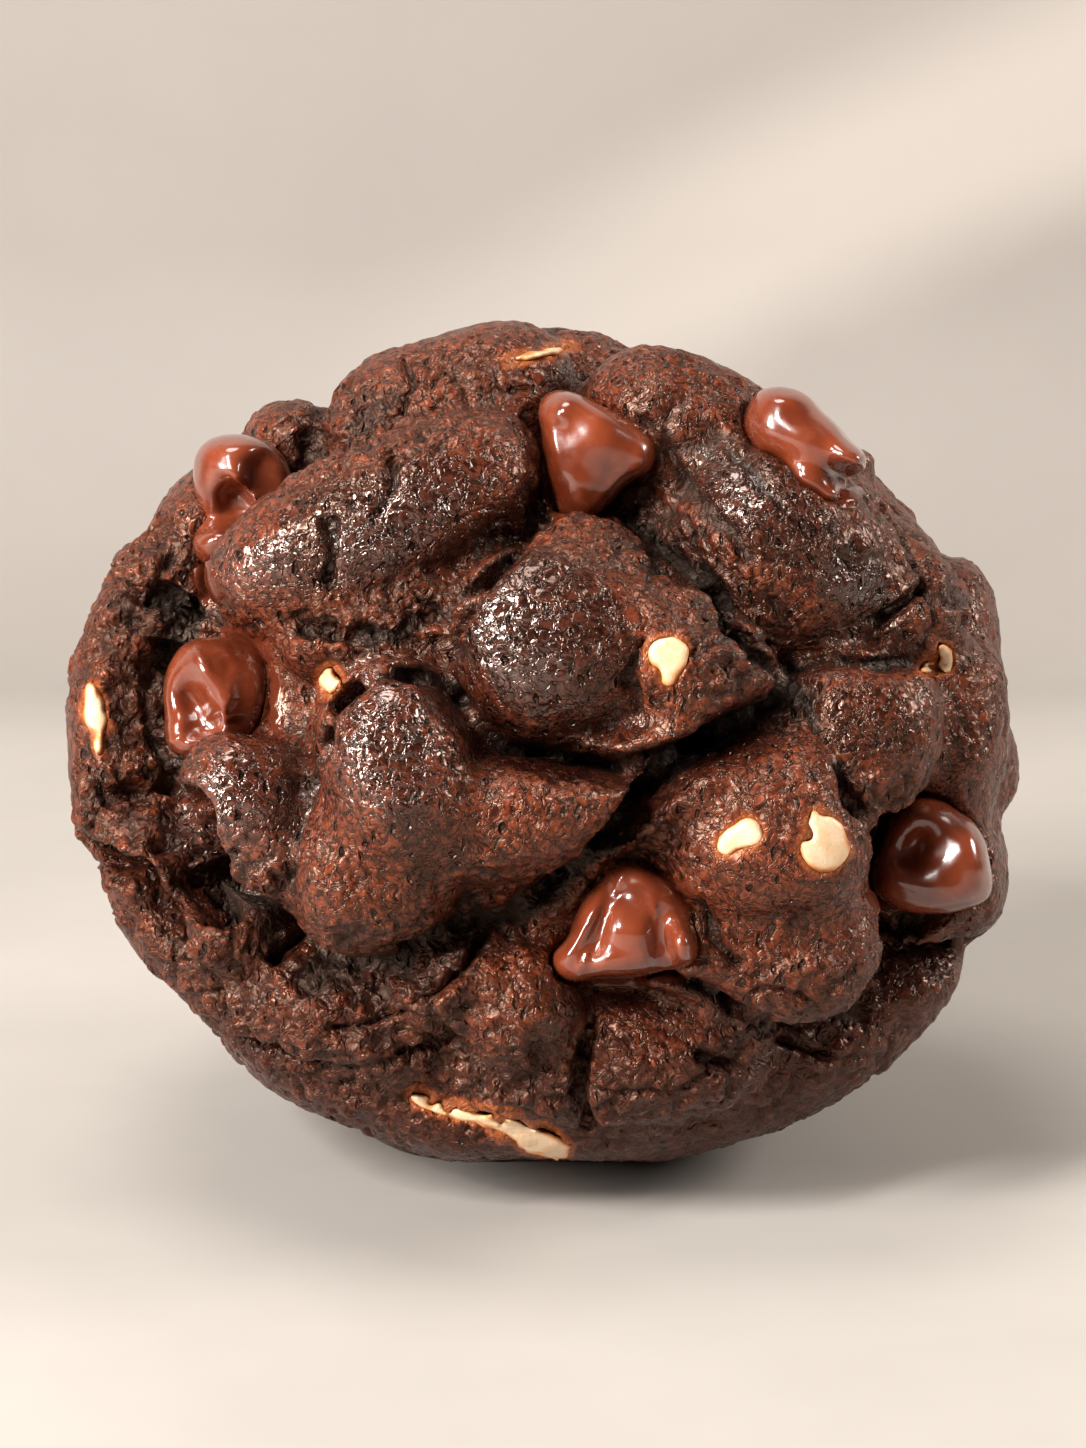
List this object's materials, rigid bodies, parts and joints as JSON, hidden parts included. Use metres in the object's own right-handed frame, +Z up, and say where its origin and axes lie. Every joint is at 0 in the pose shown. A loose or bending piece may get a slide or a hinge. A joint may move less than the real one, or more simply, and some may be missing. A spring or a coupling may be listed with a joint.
{
  "type": "thick chocolate lava cookie",
  "caption": "Thick, domed chocolate cookie of folded dough lobes, with melted milk chocolate chips and toasted white chocolate pieces, on a small flat seat.",
  "frame": {"origin": "in the middle of the flat seat on the cookie's underside, at the level it rests on", "axes": "+Z up, -Y towards the side shown in the picture, +X to the right of that side"},
  "size_m": [0.0877, 0.0896, 0.0786],
  "materials": {
    "baked_dough": "baked dark chocolate dough: granular, crackled, with a faint greasy sheen on the lobe tops",
    "milk_chocolate": "melted milk chocolate, smooth and glossy",
    "white_chocolate": "white chocolate, cream, toasted orange-brown at its edges"
  },
  "bodies": {
    "root": {"cookie": "baked_dough", "chip_crown": "milk_chocolate", "chip_shoulder": "milk_chocolate", "chip_curl": "milk_chocolate", "chip_left": "milk_chocolate", "chip_low": "milk_chocolate", "chip_right": "milk_chocolate", "chip_back_a": "milk_chocolate", "chip_back_b": "milk_chocolate", "chip_back_c": "milk_chocolate", "chip_back_d": "milk_chocolate", "white_flank": "white_chocolate", "white_bead": "white_chocolate", "white_nose": "white_chocolate", "white_side": "white_chocolate", "white_jowl_a": "white_chocolate", "white_jowl_b": "white_chocolate", "white_base": "white_chocolate", "white_top": "white_chocolate", "white_back_a": "white_chocolate", "white_back_b": "white_chocolate", "white_back_c": "white_chocolate"}
  },
  "joints": []
}
